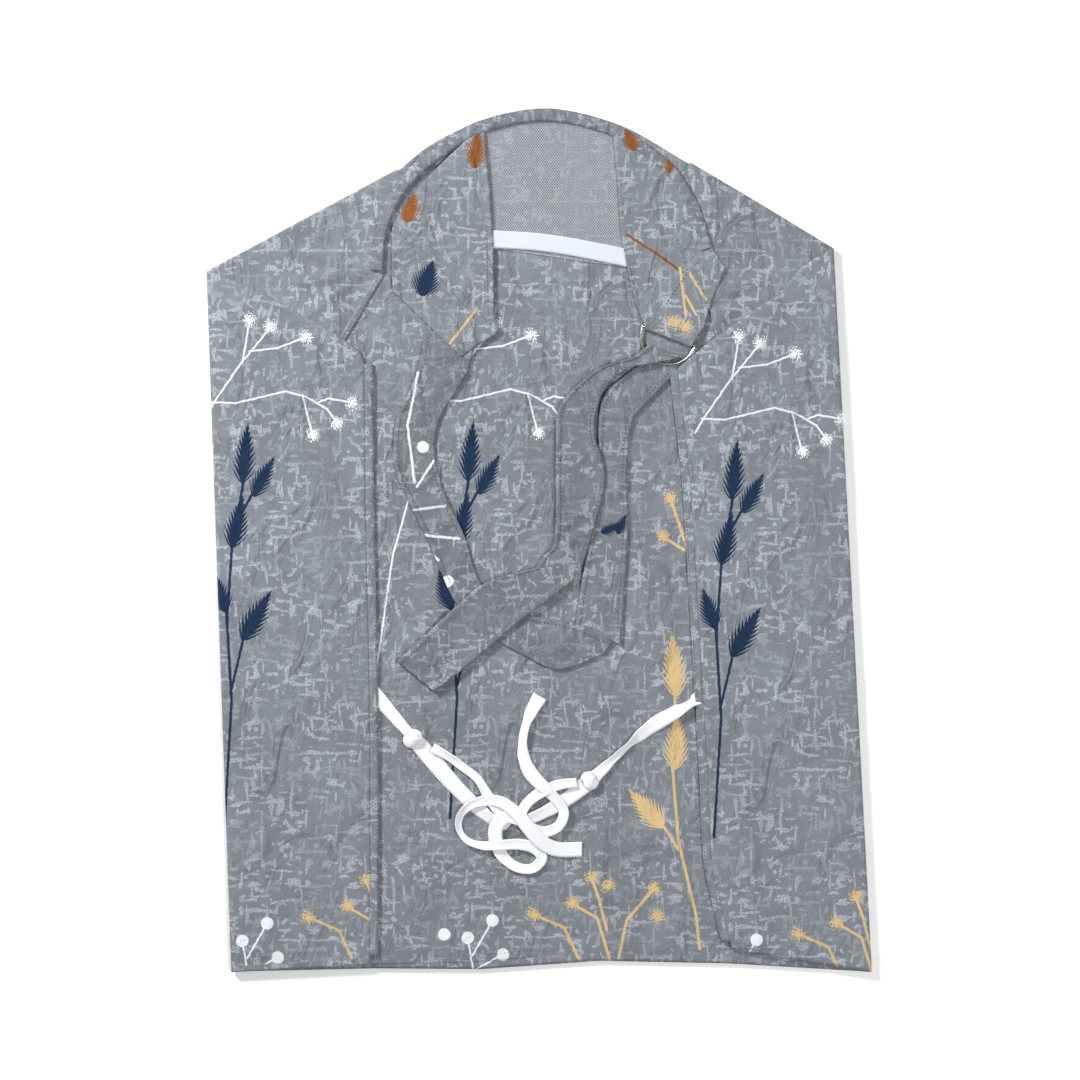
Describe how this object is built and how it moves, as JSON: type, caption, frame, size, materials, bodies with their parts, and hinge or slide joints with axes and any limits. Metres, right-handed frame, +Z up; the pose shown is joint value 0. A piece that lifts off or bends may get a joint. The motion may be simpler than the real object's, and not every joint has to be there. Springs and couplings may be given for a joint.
{
  "type": "nursing cover apron",
  "caption": "Printed cotton nursing cover laid flat with its sides folded in: boned neckline, net window, neck strap through a D-ring, white twill waist ties.",
  "frame": {"origin": "middle of the folded outline, on the surface the cover lies on", "axes": "+Y from the hem to the neckline, +X to the right with the inner side up, +Z up from the surface"},
  "size_m": [0.5633, 0.7334, 0.0075],
  "materials": {
    "printed_cotton": "matt woven cotton with a printed slub ground and plant motifs",
    "net": "fine knitted net",
    "white_elastic": "ribbed woven elastic",
    "twill_tape": "cotton twill tape",
    "ring_metal": "polished nickel plate",
    "boning_plastic": "translucent white polyester"
  },
  "bodies": {
    "front": {"front_panel_outer": "printed_cotton", "front_panel_lining": "printed_cotton", "bottom_hem": "printed_cotton", "neckline_casing": "printed_cotton", "neckline_boning": "boning_plastic", "left_shoulder_corner": "printed_cotton", "left_shoulder_hem": "printed_cotton", "right_shoulder_corner": "printed_cotton", "right_shoulder_hem": "printed_cotton", "net_window": "net", "net_elastic_band": "white_elastic", "left_strap_tab": "printed_cotton", "ring_tab": "printed_cotton", "neck_strap_left_run": "printed_cotton", "neck_strap_rise_run": "printed_cotton", "joining_tie": "twill_tape"},
    "left_side": {"left_side_panel_lining": "printed_cotton", "left_side_panel_outer": "printed_cotton", "left_side_hem": "printed_cotton", "left_side_bottom_hem": "printed_cotton"},
    "right_side": {"right_side_panel_lining": "printed_cotton", "right_side_panel_outer": "printed_cotton", "right_side_hem": "printed_cotton", "right_side_bottom_hem": "printed_cotton"},
    "left_tie": {"left_waist_tie": "twill_tape", "left_waist_tie_return": "twill_tape", "left_tie_knot": "twill_tape"},
    "right_tie": {"right_waist_tie": "twill_tape", "right_waist_tie_return": "twill_tape", "right_tie_knot": "twill_tape"},
    "ring": {"d_ring": "ring_metal", "neck_strap_ring_fold": "printed_cotton", "neck_strap_ring_run": "printed_cotton"},
    "strap_tail": {"neck_strap_tail": "printed_cotton"}
  },
  "joints": [
    {"name": "left_side_fold", "type": "hinge", "parent": "front", "child": "left_side", "pos_m": [-0.2825, 0.22775, 0.00235], "axis": [0.0353, -0.9994, 0], "range_deg": [0, 180]},
    {"name": "right_side_fold", "type": "hinge", "parent": "front", "child": "right_side", "pos_m": [0.2495, 0.24725, 0.00235], "axis": [-0.0529, 0.9986, 0], "range_deg": [0, 180]},
    {"name": "left_tie_seam", "type": "hinge", "parent": "left_side", "child": "left_tie", "pos_m": [-0.1442, -0.12425, 0.0022], "axis": [0.0353, -0.9994, 0], "range_deg": [-180, 0]},
    {"name": "right_tie_seam", "type": "hinge", "parent": "right_side", "child": "right_tie", "pos_m": [0.1386, -0.12925, 0.0022], "axis": [-0.0529, 0.9986, 0], "range_deg": [-180, 0]},
    {"name": "ring_swing", "type": "hinge", "parent": "front", "child": "ring", "pos_m": [0.1095, 0.17275, 0.0041], "axis": [-0.9359, 0.3523, 0], "range_deg": [0, 60]},
    {"name": "strap_tail_lift", "type": "hinge", "parent": "ring", "child": "strap_tail", "pos_m": [0.017, -0.01525, 0.0044], "axis": [-0.9338, 0.3579, 0], "range_deg": [0, 100]}
  ],
  "couplings": [
    {"joint": "left_tie_seam", "follows": "left_side_fold", "ratio": -1},
    {"joint": "right_tie_seam", "follows": "right_side_fold", "ratio": -1}
  ]
}
